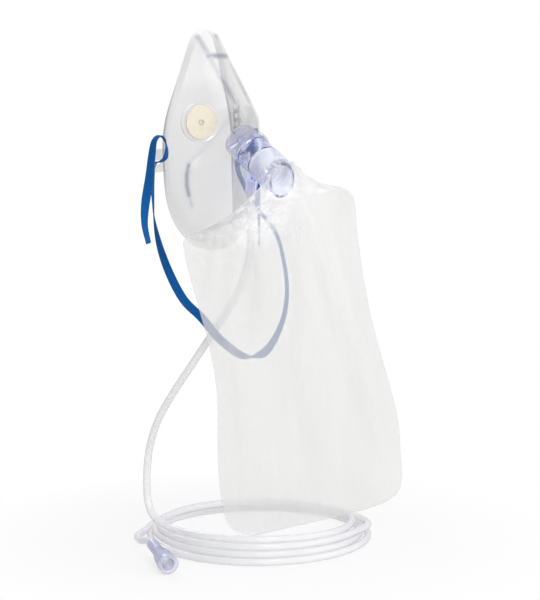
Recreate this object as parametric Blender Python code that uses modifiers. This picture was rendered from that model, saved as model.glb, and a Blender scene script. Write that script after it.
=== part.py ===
"""Reservoir-bag oxygen mask: a clear vinyl face mask, its connector with a one-way valve, the film
bag on the connector, an elastic head strap, and the supply tube coiled on the floor below."""

import math

import bmesh
import bpy
from mathutils import Matrix, Vector

MM = 0.001

# The mask's shell. X runs across the face, -Y is the front, Z is up, and the origin is the middle
# of the opening that lies on the face.
MASK_HEIGHT = 161.0 * MM
MASK_WIDTH = 98.0 * MM
MASK_DEPTH = 42.0 * MM
SHELL_WALL = 1.2 * MM

# Port in the front of the shell, drawn to the wearer's right by the hanging bag.
PORT_LIP_WALL = 1.8 * MM
PORT_LIP_LENGTH = 4.4 * MM
PORT_YAW = math.radians(20)
PORT_PITCH = math.radians(30)

# Exhalation valves.
DISC_DIAMETER = 24.0 * MM
DISC_THICKNESS = 0.9 * MM
SEAT_MARGIN = 1.0 * MM
SEAT_WALL = 1.2 * MM
SEAT_THICKNESS = 3.4 * MM
SEAT_TURN = math.radians(30)
SEAT_RIM_MEAN = 1.4 * MM
SEAT_RIM_SLANT = 3.8 * MM
SEAT_RIM_LEAST = 0.5 * MM
SEAT_RIM_TOWARDS = math.radians(-30)
VENT_DIAMETER = 3.0 * MM
VENT_CIRCLE = 14.0 * MM
VENT_COUNT = 6
PIP_STEM = 2.6 * MM
PIP_HEAD = 4.4 * MM
PIP_HEAD_HEIGHT = 1.0 * MM

# Strap tabs.
TAB_REACH = 19.0 * MM
TAB_HEIGHT = 16.0 * MM
TAB_THICKNESS = 1.6 * MM
TAB_CORNER = 3.0 * MM
TAB_MIDDLE_HEIGHT = -12.2 * MM
SLOT_HEIGHT = 3.0 * MM
SLOT_LENGTH = 8.4 * MM
SLOT_FROM_TIP = 3.6 * MM
SLOT_DROP = 1.0 * MM

# Connector, measured along its axis from the port.
BODY_DIAMETER = 25.0 * MM
BODY_WALL = 1.5 * MM
BODY_INSIDE_LENGTH = 13.5 * MM
BODY_OUTSIDE_LENGTH = 15.6 * MM
STOP_FLANGE = 1.1 * MM
STOP_FLANGE_LENGTH = 1.4 * MM
SPOUT_DIAMETER = 22.4 * MM
SPOUT_LENGTH = 30.0 * MM
SPOUT_BEVEL = math.radians(24)
BEAD_HEIGHT = 0.6 * MM
BEAD_LENGTH = 1.6 * MM
BEAD_PLACE = 18.6 * MM

# Oxygen inlet under the connector's body.
INLET_PLACE = 7.0 * MM
INLET_REACH = 28.0 * MM
INLET_ROOT_DIAMETER = 9.4 * MM
INLET_TIP_DIAMETER = 8.2 * MM
INLET_SOCKET_DEPTH = 9.0 * MM
INLET_JET_DIAMETER = 1.8 * MM
INLET_LEAN = math.radians(17)

# One-way valve in the connector's inner end.
SPIDER_BAR = 1.6 * MM
SPIDER_THICKNESS = 1.6 * MM
SPIDER_BARS = 5
SPIDER_HUB = 6.0 * MM
CHECK_DISC_DIAMETER = 20.4 * MM
CHECK_DISC_THICKNESS = 0.7 * MM
CHECK_PIN = 2.4 * MM
CHECK_PIN_HEAD = 3.8 * MM
CHECK_PIN_HEAD_HEIGHT = 0.9 * MM

# Reservoir bag and the band that holds its neck.
BAG_WIDTH = 130.0 * MM
BAG_LENGTH = 233.0 * MM
BAG_BULGE = 17.0 * MM
BAG_LEAN = math.radians(8.8)
BAG_TURN = math.radians(-60)
BAG_FILM = 0.3 * MM
BAG_SEAM = 1.2 * MM
BAND_WALL = 1.0 * MM
BAND_LENGTH = 14.4 * MM

# Head strap.
STRAP_WIDTH = 6.4 * MM
STRAP_THICKNESS = 0.9 * MM

# Supply tube, its coil on the floor, and the connector on its end.
FLOOR_HEIGHT = -300.0 * MM
TUBE_DIAMETER = 5.5 * MM
COIL_MIDDLE = (43.0 * MM, -14.0 * MM)
COIL_DIAMETER = 180.0 * MM
COIL_BAND = 21.0 * MM
COIL_HEIGHT = 17.0 * MM
COIL_EDGE = 3.0 * MM
END_LENGTH = 43.0 * MM
END_MOUTH_DIAMETER = 15.0 * MM
END_SOCKET_DIAMETER = 8.6 * MM
END_SOCKET_DEPTH = 14.0 * MM
END_TAIL_DIAMETER = 8.4 * MM

# Clearances between pieces that touch on the real thing.
GAP = 0.3 * MM
VALVE_LIFT = 0.3 * MM

ROUND_STEPS = 40
SMALL_STEPS = 20


# Scene and helpers

for old in list(bpy.data.objects):
    bpy.data.objects.remove(old)

pieces = bpy.data.collections.new("oxygen_mask")
cutters = bpy.data.collections.new("cutters")
for group in (pieces, cutters):
    bpy.context.scene.collection.children.link(group)


def material(name, colour, roughness, alpha=1.0):
    made = bpy.data.materials.new(name)
    made.use_nodes = True
    shader = made.node_tree.nodes["Principled BSDF"]
    shader.inputs["Base Color"].default_value = (*colour, 1.0)
    shader.inputs["Roughness"].default_value = roughness
    shader.inputs["Alpha"].default_value = alpha
    made.diffuse_color = (*colour, alpha)
    return made


def keep(name, mesh, finish, frame=None):
    """Links a mesh as one of the object's own pieces."""
    piece = bpy.data.objects.new(name, mesh)
    mesh.materials.append(finish)
    mesh.shade_smooth()
    mesh.set_sharp_from_angle(angle=math.radians(35))
    pieces.objects.link(piece)
    if frame is not None:
        piece.matrix_world = frame
    return piece


def helper(name, mesh, frame=None):
    """Links a mesh as a tool for a Boolean, out of the render."""
    tool = bpy.data.objects.new(name, mesh)
    tool.hide_render = True
    tool.display_type = "WIRE"
    cutters.objects.link(tool)
    if frame is not None:
        tool.matrix_world = frame
    return tool


def combine(target, tool, operation):
    modifier = target.modifiers.new(f"{operation} {tool.name}".lower(), "BOOLEAN")
    modifier.operation = operation
    modifier.object = tool


def mesh_from(work, name):
    mesh = bpy.data.meshes.new(name)
    work.to_mesh(mesh)
    work.free()
    return mesh


def turned(name, profile, steps=ROUND_STEPS):
    """A mesh turned about Z from a closed outline of (radius, height), or one that ends on the axis."""
    outline = bmesh.new()
    points = [outline.verts.new((radius, 0.0, height)) for radius, height in profile]
    on_axis = profile[0][0] == 0.0 and profile[-1][0] == 0.0
    for first, second in zip(points, points[1:]):
        outline.edges.new((first, second))
    if not on_axis:
        outline.edges.new((points[-1], points[0]))
    flat = bpy.data.objects.new(name, mesh_from(outline, name))
    bpy.context.scene.collection.objects.link(flat)
    screw = flat.modifiers.new("turn", "SCREW")
    screw.steps = steps
    screw.render_steps = steps
    screw.use_merge_vertices = True
    screw.merge_threshold = 0.01 * MM
    bpy.context.view_layer.update()
    evaluated = flat.evaluated_get(bpy.context.evaluated_depsgraph_get())
    mesh = bpy.data.meshes.new_from_object(evaluated)
    bpy.data.objects.remove(flat)
    return outward(mesh)


def outward(mesh):
    work = bmesh.new()
    work.from_mesh(mesh)
    bmesh.ops.remove_doubles(work, verts=work.verts, dist=0.005 * MM)
    bmesh.ops.recalc_face_normals(work, faces=work.faces)
    work.to_mesh(mesh)
    work.free()
    return mesh


def rounded_block(name, size, corner, axis):
    """A block with the four edges that run along one axis (0, 1 or 2) rounded."""
    work = bmesh.new()
    bmesh.ops.create_cube(work, size=1.0, matrix=Matrix.Diagonal((*size, 1.0)))
    along = [
        edge
        for edge in work.edges
        if all(
            abs(edge.verts[0].co[side] - edge.verts[1].co[side]) < 0.001 * MM
            for side in range(3)
            if side != axis
        )
    ]
    bmesh.ops.bevel(work, geom=along, offset=corner, segments=4, affect="EDGES", profile=0.5)
    return mesh_from(work, name)


def frame_of(place, across, along):
    """A matrix whose X is across and whose Z is along, at a place."""
    z = along.normalized()
    x = (across - z * across.dot(z)).normalized()
    y = z.cross(x)
    turn = Matrix((x, y, z)).transposed().to_4x4()
    return Matrix.Translation(place) @ turn


def between(values, t):
    """Catmull-Rom reading of a list of vectors or numbers, t from 0 to the last index."""
    first = min(int(t), len(values) - 2)
    u = t - first
    p1, p2 = values[first], values[first + 1]
    p0 = values[first - 1] if first else p1 + (p1 - p2)
    p3 = values[first + 2] if first + 2 < len(values) else p2 + (p2 - p1)
    return (
        p1 * (1.0 - 2.5 * u * u + 1.5 * u**3)
        + p2 * (0.5 * u + 2.0 * u * u - 1.5 * u**3)
        + p0 * (-0.5 * u + u * u - 0.5 * u**3)
        + p3 * (-0.5 * u * u + 0.5 * u**3)
    )


def evenly(route, spacing):
    """Points about a spacing apart on the smooth curve through a route."""
    fine = [between(route, i / 24) for i in range(24 * (len(route) - 1) + 1)]
    lengths = [0.0]
    for a, b in zip(fine, fine[1:]):
        lengths.append(lengths[-1] + (b - a).length)
    count = max(2, round(lengths[-1] / spacing))
    read, at = [], 0
    for i in range(count + 1):
        wanted = lengths[-1] * i / count
        while at < len(fine) - 2 and lengths[at + 1] < wanted:
            at += 1
        span = lengths[at + 1] - lengths[at]
        read.append(fine[at].lerp(fine[at + 1], (wanted - lengths[at]) / span if span else 0.0))
    return read


def skin(work, rings):
    """Faces between closed rings of points that run one after another."""
    rows = [[work.verts.new(point) for point in ring] for ring in rings]
    for row, following in zip(rows, rows[1:]):
        for i in range(len(row)):
            j = (i + 1) % len(row)
            work.faces.new((row[i], row[j], following[j], following[i]))
    return rows


def face_away(work, sample, middle):
    """Turns an open surface so that a sample face looks away from a point inside it."""
    bmesh.ops.recalc_face_normals(work, faces=work.faces)
    if sample.normal.dot(sample.calc_center_median() - middle) < 0.0:
        bmesh.ops.reverse_faces(work, faces=work.faces)


clear_vinyl = material("clear_vinyl", (0.86, 0.88, 0.90), 0.12, 0.35)
tinted_plastic = material("tinted_plastic", (0.52, 0.58, 0.85), 0.15, 0.6)
cream_silicone = material("cream_silicone", (0.86, 0.80, 0.62), 0.55)
frosted_film = material("frosted_film", (0.90, 0.91, 0.92), 0.4, 0.4)
white_rubber = material("white_rubber", (0.90, 0.91, 0.92), 0.45)
blue_elastic = material("blue_elastic", (0.03, 0.12, 0.38), 0.85)
tube_vinyl = material("tube_vinyl", (0.80, 0.82, 0.88), 0.15, 0.5)


# Mask body: one moulded shell. Its cage is drawn at DRAWN size, in millimetres.

DRAWN = Vector((98.0, 42.0, 161.0))
MASK_SCALE = Vector((MASK_WIDTH / DRAWN.x, MASK_DEPTH / DRAWN.y, MASK_HEIGHT / DRAWN.z))


def on_mask(x, y, z):
    return Vector((x * MASK_SCALE.x, y * MASK_SCALE.y, z * MASK_SCALE.z))


# Each column runs forward from the edge on the face: edge, lip, cheek, crease, bowl.
# The first is the middle of the nose, the last the middle of the chin, for one half.
COLUMNS = (
    ((0.0, 5.9, 80.5), (0.0, 0.5, 79.8), (0.0, -14.4, 60.0), (0.0, -37.0, 25.0), (0.0, -41.5, 14.5)),
    ((12.5, 6.2, 77.6), (12.0, 0.8, 76.6), (10.0, -10.2, 59.0), (10.0, -32.0, 25.4), (8.5, -38.5, 14.0)),
    ((20.3, 6.6, 66.0), (20.3, 1.4, 65.5), (20.7, -9.4, 39.3), (14.0, -21.6, 12.8), (15.0, -31.5, 6.0)),
    ((29.0, 8.0, 46.0), (29.5, 2.8, 45.5), (28.0, -8.0, 21.0), (20.6, -14.5, 2.0), (21.0, -25.5, -2.5)),
    ((41.0, 9.6, 25.0), (41.5, 4.4, 24.5), (37.0, -3.0, 6.5), (29.6, -9.0, -8.7), (25.5, -20.5, -10.5)),
    ((48.3, 10.5, 3.0), (49.0, 5.2, 2.5), (44.0, 1.2, -8.0), (37.0, -5.0, -16.5), (28.5, -17.5, -19.0)),
    ((46.5, 9.8, -22.0), (47.2, 4.4, -22.0), (45.0, 0.8, -25.5), (42.0, -4.4, -29.5), (29.5, -16.5, -29.5)),
    ((46.3, 8.5, -46.0), (47.0, 3.1, -46.0), (45.3, -2.2, -46.0), (41.0, -8.0, -44.5), (27.5, -18.5, -40.5)),
    ((36.0, 2.5, -67.5), (36.8, -2.9, -67.3), (36.0, -8.3, -65.8), (32.0, -14.0, -61.5), (20.5, -21.5, -48)),
    ((19.0, -3.3, -77.8), (19.5, -8.7, -77.2), (19, -13.0, -74.8), (16.5, -18.0, -69.5), (10.5, -23.5, -52)),
    ((0.0, -5.9, -80.5), (0.0, -11.3, -79.6), (0.0, -15.2, -77.0), (0.0, -19.8, -71.5), (0.0, -24.5, -53.0)),
)
EDGE, LIP, CHEEK, CREASE, BOWL, PORT = range(6)
RIDGE_STEP_SHARPNESS = 0.9
CREASE_SHARPNESS = {1: 0.55, 2: 0.5, 3: 0.5, 4: 0.55, 5: 0.75, 6: 0.8, 7: 0.5}

port_along = Vector(
    (
        -math.cos(PORT_PITCH) * math.sin(PORT_YAW),
        -math.cos(PORT_PITCH) * math.cos(PORT_YAW),
        -math.sin(PORT_PITCH),
    )
)
port_across = Vector((math.cos(PORT_YAW), -math.sin(PORT_YAW), 0.0))
PORT_PLACE = (-2.0, -35.0, -6.0)
port_frame = frame_of(on_mask(*PORT_PLACE), port_across, port_along)
port_bore_radius = BODY_DIAMETER / 2 + GAP
port_hole_radius = port_bore_radius + PORT_LIP_WALL / 2
port_ring_radius = port_bore_radius - PORT_LIP_WALL


def mask_shell():
    last = len(COLUMNS) - 1
    around = [(column, 1.0) for column in range(last + 1)]
    around += [(column, -1.0) for column in range(last - 1, 0, -1)]
    work = bmesh.new()
    creases = work.edges.layers.float.new("crease_edge")
    rows = [[] for _ in range(PORT + 1)]
    for column, side in around:
        for row, (x, y, z) in enumerate(COLUMNS[column]):
            rows[row].append(work.verts.new(on_mask(side * x, y, z)))
        angle = math.pi * column / last
        local = Vector((side * math.sin(angle), math.cos(angle), 0.0)) * port_ring_radius
        rows[PORT].append(work.verts.new(port_frame @ local))
    count = len(around)
    for row, ahead in zip(rows, rows[1:]):
        for i in range(count):
            j = (i + 1) % count
            work.faces.new((row[i], row[j], ahead[j], ahead[i]))
    work.faces.ensure_lookup_table()
    face_away(work, work.faces[0], Vector((0.0, 0.0, 0.0)))
    for i, (column, side) in enumerate(around):
        following = around[(i + 1) % count][0]
        along_rim = work.edges.get((rows[LIP][i], rows[LIP][(i + 1) % count]))
        along_rim[creases] = 0.5
        if column in CREASE_SHARPNESS and following in CREASE_SHARPNESS:
            edge = work.edges.get((rows[CREASE][i], rows[CREASE][(i + 1) % count]))
            edge[creases] = CREASE_SHARPNESS[column]
        if column == 1:
            for first, second in ((LIP, CHEEK), (CHEEK, CREASE)):
                work.edges.get((rows[first][i], rows[second][i]))[creases] = 0.6
        if {column, following} == {0, 1}:
            across_ridge = work.edges.get((rows[CHEEK][i], rows[CHEEK][(i + 1) % count]))
            across_ridge[creases] = RIDGE_STEP_SHARPNESS
    return mesh_from(work, "mask_body")


mask_body = keep("mask_body", mask_shell(), clear_vinyl)
smoothing = mask_body.modifiers.new("moulded form", "SUBSURF")
smoothing.levels = 2
smoothing.render_levels = 2
shell = mask_body.modifiers.new("shell", "SOLIDIFY")
shell.thickness = SHELL_WALL
shell.offset = -1.0

port_opening = helper(
    "port_opening",
    turned(
        "port_opening",
        (
            (0.0, 3 * PORT_LIP_LENGTH),
            (port_hole_radius, 3 * PORT_LIP_LENGTH),
            (port_hole_radius, -3 * PORT_LIP_LENGTH),
            (0.0, -3 * PORT_LIP_LENGTH),
        ),
    ),
    port_frame,
)
combine(mask_body, port_opening, "DIFFERENCE")
lip_outer = port_bore_radius + PORT_LIP_WALL
port_lip = helper(
    "port_lip",
    turned(
        "port_lip",
        (
            (port_bore_radius, PORT_LIP_LENGTH / 2),
            (lip_outer - 0.5 * MM, PORT_LIP_LENGTH / 2),
            (lip_outer, PORT_LIP_LENGTH / 2 - 0.5 * MM),
            (lip_outer, 0.5 * MM - PORT_LIP_LENGTH / 2),
            (lip_outer - 0.5 * MM, -PORT_LIP_LENGTH / 2),
            (port_bore_radius, -PORT_LIP_LENGTH / 2),
        ),
    ),
    port_frame,
)
combine(mask_body, port_lip, "UNION")


# Exhalation valves: a seat with vents moulded into each cheek, a disc over it, held by a pip.

seat_radius = DISC_DIAMETER / 2 + SEAT_MARGIN
disc_bottom = GAP
disc_top = disc_bottom + DISC_THICKNESS
pip_head_bottom = disc_top + VALVE_LIFT
SEAT_PLACE = (26.0, -8.2, 13.8)


def seat_mesh(side):
    """A round cup: the plate that the disc lies on, its pip, and a rim slanted with the cheek."""
    head_top = pip_head_bottom + PIP_HEAD_HEIGHT
    rim = head_top + 5.0 * MM
    mesh = turned(
        "valve_seat",
        (
            (0.0, head_top),
            (PIP_HEAD / 2 - 0.5 * MM, head_top),
            (PIP_HEAD / 2, pip_head_bottom + 0.3 * MM),
            (PIP_HEAD / 2, pip_head_bottom),
            (PIP_STEM / 2, pip_head_bottom),
            (PIP_STEM / 2, 0.0),
            (seat_radius, 0.0),
            (seat_radius, rim),
            (seat_radius + SEAT_WALL, rim),
            (seat_radius + SEAT_WALL, -SEAT_THICKNESS),
            (0.0, -SEAT_THICKNESS),
        ),
        32,
    )
    for vertex in mesh.vertices:
        if vertex.co.z > rim - 0.1 * MM:
            inboard = math.atan2(vertex.co.y * side, -vertex.co.x) - SEAT_RIM_TOWARDS
            slanted = SEAT_RIM_MEAN + SEAT_RIM_SLANT * math.sin(inboard)
            vertex.co.z = max(slanted, SEAT_RIM_LEAST)
    return mesh


def seat_hole():
    radius = seat_radius + SEAT_WALL / 2
    above, below = 20.0 * MM, -1.5 * MM
    return turned("seat_hole", ((0.0, above), (radius, above), (radius, below), (0.0, below)), 32)


def vents():
    work = bmesh.new()
    for i in range(VENT_COUNT):
        angle = 2 * math.pi * (i + 0.5) / VENT_COUNT
        spot = Vector((math.cos(angle), math.sin(angle), 0.0)) * VENT_CIRCLE / 2
        bmesh.ops.create_cone(
            work,
            cap_ends=True,
            segments=12,
            radius1=VENT_DIAMETER / 2,
            radius2=VENT_DIAMETER / 2,
            depth=4 * SEAT_THICKNESS,
            matrix=Matrix.Translation(spot - Vector((0, 0, SEAT_THICKNESS / 2))),
        )
    return mesh_from(work, "vents")


def disc_profile():
    hole = PIP_STEM / 2 + GAP
    return (
        (hole, disc_top),
        (DISC_DIAMETER / 2 - 0.2 * MM, disc_top),
        (DISC_DIAMETER / 2, disc_bottom),
        (hole, disc_bottom),
    )


for side_name, side in (("right", -1.0), ("left", 1.0)):
    outward_from_cheek = Vector((side * math.sin(SEAT_TURN), -math.cos(SEAT_TURN), 0.0))
    x, y, z = SEAT_PLACE
    seat_frame = frame_of(on_mask(side * x, y, z), Vector((0, 0, 1)), outward_from_cheek)
    combine(mask_body, helper(f"seat_hole_{side_name}", seat_hole(), seat_frame), "DIFFERENCE")
    combine(mask_body, helper(f"valve_seat_{side_name}", seat_mesh(side), seat_frame), "UNION")
    combine(mask_body, helper(f"vents_{side_name}", vents(), seat_frame), "DIFFERENCE")
    disc_mesh = turned("exhalation_disc", disc_profile())
    keep(f"exhalation_disc_{side_name}", disc_mesh, cream_silicone, seat_frame)


# Strap tabs on the lip at each cheek, slotted for the strap.

tab_root = MASK_WIDTH / 2 - 2.8 * MM
tab_tip = tab_root + TAB_REACH
tab_depth = on_mask(0.0, 7.4, 0.0).y
slot_middle = Vector((tab_tip - SLOT_FROM_TIP - SLOT_LENGTH / 2, tab_depth, TAB_MIDDLE_HEIGHT - SLOT_DROP))

for side_name, side in (("right", -1.0), ("left", 1.0)):
    middle = Vector((side * (tab_root + tab_tip) / 2, tab_depth, TAB_MIDDLE_HEIGHT))
    plate = rounded_block("strap_tab", (TAB_REACH, TAB_THICKNESS, TAB_HEIGHT), TAB_CORNER, 1)
    combine(mask_body, helper(f"strap_tab_{side_name}", plate, Matrix.Translation(middle)), "UNION")
    opening = rounded_block("strap_slot", (SLOT_LENGTH, 6 * TAB_THICKNESS, SLOT_HEIGHT), SLOT_HEIGHT / 3, 1)
    through = Matrix.Translation(Vector((side * slot_middle.x, slot_middle.y, slot_middle.z)))
    combine(mask_body, helper(f"strap_slot_{side_name}", opening, through), "DIFFERENCE")


# Connector: one moulding that plugs into the port, with the inlet below and the bag's spout ahead.

body_radius = BODY_DIAMETER / 2
spout_radius = SPOUT_DIAMETER / 2
spout_end = BODY_OUTSIDE_LENGTH + SPOUT_LENGTH
stop_start = PORT_LIP_LENGTH / 2 + GAP
seat_edge = -BODY_INSIDE_LENGTH
bead_start = BODY_OUTSIDE_LENGTH + BEAD_PLACE

connector = keep(
    "oxygen_connector",
    turned(
        "oxygen_connector",
        (
            (spout_radius - BODY_WALL, spout_end),
            (spout_radius, spout_end),
            (spout_radius, bead_start + BEAD_LENGTH),
            (spout_radius + BEAD_HEIGHT, bead_start + BEAD_LENGTH / 2),
            (spout_radius, bead_start),
            (spout_radius, BODY_OUTSIDE_LENGTH),
            (body_radius, BODY_OUTSIDE_LENGTH),
            (body_radius, stop_start + STOP_FLANGE_LENGTH),
            (body_radius + STOP_FLANGE, stop_start + STOP_FLANGE_LENGTH),
            (body_radius + STOP_FLANGE, stop_start),
            (body_radius, stop_start),
            (body_radius, seat_edge),
            (body_radius - BODY_WALL, seat_edge),
            (body_radius - BODY_WALL, BODY_OUTSIDE_LENGTH - 1.0 * MM),
            (spout_radius - BODY_WALL, BODY_OUTSIDE_LENGTH + 1.0 * MM),
        ),
    ),
    tinted_plastic,
    port_frame,
)

# The inlet leans a little towards the spout and its socket takes the tube.
down_in_port = port_frame.to_3x3().inverted() @ Vector((0, 0, -1))
inlet_side = Vector((down_in_port.x, down_in_port.y, 0.0)).normalized()
inlet_along = (inlet_side * math.cos(INLET_LEAN) + Vector((0, 0, 1)) * math.sin(INLET_LEAN)).normalized()
inlet_frame = port_frame @ frame_of(Vector((0, 0, INLET_PLACE)), Vector((1, 0, 0)), inlet_along)
inlet_root = body_radius - BODY_WALL / 2
tube_radius = TUBE_DIAMETER / 2
socket_floor = INLET_REACH - INLET_SOCKET_DEPTH

inlet_boss = helper(
    "inlet_boss",
    turned(
        "inlet_boss",
        (
            (0.0, INLET_REACH),
            (INLET_TIP_DIAMETER / 2 - 0.3 * MM, INLET_REACH),
            (INLET_TIP_DIAMETER / 2, INLET_REACH - 0.3 * MM),
            (INLET_ROOT_DIAMETER / 2, inlet_root),
            (0.0, inlet_root),
        ),
        24,
    ),
    inlet_frame,
)
combine(connector, inlet_boss, "UNION")
inlet_bore = helper(
    "inlet_bore",
    turned(
        "inlet_bore",
        (
            (0.0, INLET_REACH + 1.0 * MM),
            (tube_radius + GAP, INLET_REACH + 1.0 * MM),
            (tube_radius + GAP, socket_floor),
            (INLET_JET_DIAMETER / 2, socket_floor),
            (INLET_JET_DIAMETER / 2, body_radius - 4 * BODY_WALL),
            (0.0, body_radius - 4 * BODY_WALL),
        ),
        16,
    ),
    inlet_frame,
)
combine(connector, inlet_bore, "DIFFERENCE")


check_bottom = seat_edge - GAP
check_top = check_bottom - CHECK_DISC_THICKNESS
pin_head_base = check_top - VALVE_LIFT
bar_from = SPIDER_HUB / 2 - 1.0 * MM
bar_to = body_radius - BODY_WALL / 2


def spider_bars():
    """Bars from the hub to the bore's wall across the inner end."""
    work = bmesh.new()
    for i in range(SPIDER_BARS):
        turn = Matrix.Rotation(2 * math.pi * i / SPIDER_BARS, 4, "Z")
        middle = Vector(((bar_from + bar_to) / 2, 0, seat_edge + SPIDER_THICKNESS / 2 + 0.3 * MM))
        size = Matrix.Diagonal((bar_to - bar_from, SPIDER_BAR, SPIDER_THICKNESS, 1.0))
        bmesh.ops.create_cube(work, size=1.0, matrix=turn @ Matrix.Translation(middle) @ size)
    return mesh_from(work, "spider_bars")


hub_and_pin = helper(
    "hub_and_pin",
    turned(
        "hub_and_pin",
        (
            (0.0, seat_edge + SPIDER_THICKNESS + 0.8 * MM),
            (SPIDER_HUB / 2 - 0.4 * MM, seat_edge + SPIDER_THICKNESS + 0.8 * MM),
            (SPIDER_HUB / 2, seat_edge + SPIDER_THICKNESS + 0.5 * MM),
            (SPIDER_HUB / 2, seat_edge),
            (CHECK_PIN / 2, seat_edge),
            (CHECK_PIN / 2, pin_head_base),
            (CHECK_PIN_HEAD / 2, pin_head_base),
            (CHECK_PIN_HEAD / 2 - 0.4 * MM, pin_head_base - CHECK_PIN_HEAD_HEIGHT),
            (0.0, pin_head_base - CHECK_PIN_HEAD_HEIGHT),
        ),
        SMALL_STEPS,
    ),
    port_frame,
)
combine(connector, hub_and_pin, "UNION")
combine(connector, helper("spider_bars", spider_bars(), port_frame), "UNION")

# The spout's end is cut on the slant, longest underneath.
slant_size = 2.4 * BODY_DIAMETER
slant_mesh = rounded_block("spout_slant", (slant_size, slant_size, slant_size), 1.0 * MM, 0)
slant_pivot = Vector((0.0, 0.0, spout_end)) + inlet_side * spout_radius
tilt = Matrix.Rotation(SPOUT_BEVEL, 4, inlet_side.cross(Vector((0, 0, 1))))
slant_frame = (
    port_frame
    @ Matrix.Translation(slant_pivot)
    @ tilt
    @ Matrix.Translation(Vector((0, 0, slant_size / 2 - 0.4 * MM)))
)
combine(connector, helper("spout_slant", slant_mesh, slant_frame), "DIFFERENCE")

keep(
    "check_valve_disc",
    turned(
        "check_valve_disc",
        (
            (CHECK_PIN / 2 + GAP, check_bottom),
            (CHECK_DISC_DIAMETER / 2, check_bottom),
            (CHECK_DISC_DIAMETER / 2, check_top),
            (CHECK_PIN / 2 + GAP, check_top),
        ),
    ),
    white_rubber,
    port_frame,
)


# Reservoir bag: a film tube, open at the neck, gathered round the spout and flat below.

neck_radius = spout_radius + GAP + BAG_FILM
neck_start = BODY_OUTSIDE_LENGTH + 0.8 * MM
band_start = neck_start + 0.4 * MM
bag_across = Vector((math.cos(BAG_TURN), math.sin(BAG_TURN), 0.0))
bag_back = Vector((-math.sin(BAG_TURN), math.cos(BAG_TURN), 0.0))
bag_down = (Vector((0, 0, -1)) * math.cos(BAG_LEAN) + bag_across * math.sin(BAG_LEAN)).normalized()
bag_side = bag_down.cross(bag_back).normalized()
BAG_POINTS = 32
BAG_RINGS_PER_SPAN = 2
# Down the hanging bag: share of its length, share of its width there, sideways shift of its middle in
# millimetres (the lower edge hangs lowest at the wearer's side), and share of its bulge.
BAG_STOPS = (
    (0.004, 0.80, 4.0, 1.60),
    (0.026, 0.94, 1.5, 1.35),
    (0.070, 0.946, 2.0, 1.15),
    (0.200, 0.93, 1.2, 1.0),
    (0.330, 0.908, 3.4, 0.95),
    (0.450, 0.908, 5.2, 0.9),
    (0.580, 0.943, 6.6, 0.85),
    (0.690, 0.985, 6.2, 0.75),
    (0.810, 1.0, 3.6, 0.65),
    (0.910, 0.98, 1.5, 0.5),
    (0.954, 0.91, -1.0, 0.4),
    (0.980, 0.68, -9.0, 0.3),
    (1.0, 0.36, -17.0, 0.18),
)

spout_tip = port_frame @ Vector((0, 0, spout_end))
bag_top = spout_tip - bag_across * 15.5 * MM + bag_back * 6.0 * MM - Vector((0, 0, 15.5 * MM))


def neck_section(along, radius):
    turn = port_frame.to_3x3()
    return (port_frame @ Vector((0, 0, along)), turn.col[0].copy(), turn.col[1].copy(), radius, radius, 1.0)


def bag_section(length_share, width_share, shift, bulge_share):
    place = bag_top + bag_down * BAG_LENGTH * length_share + bag_side * shift * MM
    half_bulge = max(BAG_BULGE / 2 * bulge_share, BAG_SEAM)
    return (place, bag_side, bag_back * -1.0, BAG_WIDTH / 2 * width_share, half_bulge, 0.0)


def bend_section():
    """The gathered film just past the spout's slanted end, halfway between the neck and the bag."""
    turn = port_frame.to_3x3()
    across = (turn.col[0] + bag_side).normalized()
    through = (turn.col[1] - bag_back).normalized()
    place = spout_tip - Vector((0, 0, 9.5 * MM)) - bag_back * 3.0 * MM + bag_side * 3.0 * MM
    return (place, across, through, spout_radius + 14.0 * MM, spout_radius + 5.5 * MM, 0.6)


def bag_sections():
    clear = spout_radius + BEAD_HEIGHT + BAG_FILM + 1.2 * MM
    neck = [
        neck_section(neck_start, neck_radius),
        neck_section(band_start + BAND_LENGTH * 0.5, neck_radius),
        neck_section(band_start + BAND_LENGTH, neck_radius),
        neck_section(bead_start + 1.5 * MM, clear),
        neck_section(spout_end - 6.0 * MM, clear + 1.5 * MM),
        bend_section(),
    ]
    return neck + [bag_section(*stop) for stop in BAG_STOPS]


def section_ring(section):
    place, across, through, half_width, half_bulge, roundness = section
    ring = []
    for i in range(BAG_POINTS):
        angle = 2 * math.pi * i / BAG_POINTS
        s, c = math.sin(angle), math.cos(angle)
        sign = 1.0 if s >= 0 else -1.0
        lens = BAG_SEAM * abs(s) ** 0.6 + (half_bulge - BAG_SEAM) * s * s
        depth = sign * lens * (1.0 - roundness) + half_bulge * s * roundness
        ring.append(place + across * half_width * c + through * depth)
    return ring


def bag_mesh():
    rings = [section_ring(section) for section in bag_sections()]
    smooth = []
    spans = len(rings) - 1
    for step in range(spans * BAG_RINGS_PER_SPAN + 1):
        t = step / BAG_RINGS_PER_SPAN
        smooth.append([between([ring[i] for ring in rings], t) for i in range(BAG_POINTS)])
    work = bmesh.new()
    rows = skin(work, smooth)
    last = rows[-1]
    half = BAG_POINTS // 2
    work.faces.new((last[0], last[1], last[BAG_POINTS - 1]))
    for i in range(1, half - 1):
        work.faces.new((last[i], last[i + 1], last[BAG_POINTS - i - 1], last[BAG_POINTS - i]))
    end = work.faces.new((last[half - 1], last[half], last[half + 1]))
    face_away(work, end, sum((vertex.co for vertex in rows[-4]), Vector()) / BAG_POINTS)
    return mesh_from(work, "reservoir_bag")


bag = keep("reservoir_bag", bag_mesh(), frosted_film)
film = bag.modifiers.new("film", "SOLIDIFY")
film.thickness = BAG_FILM
film.offset = -1.0

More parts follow.
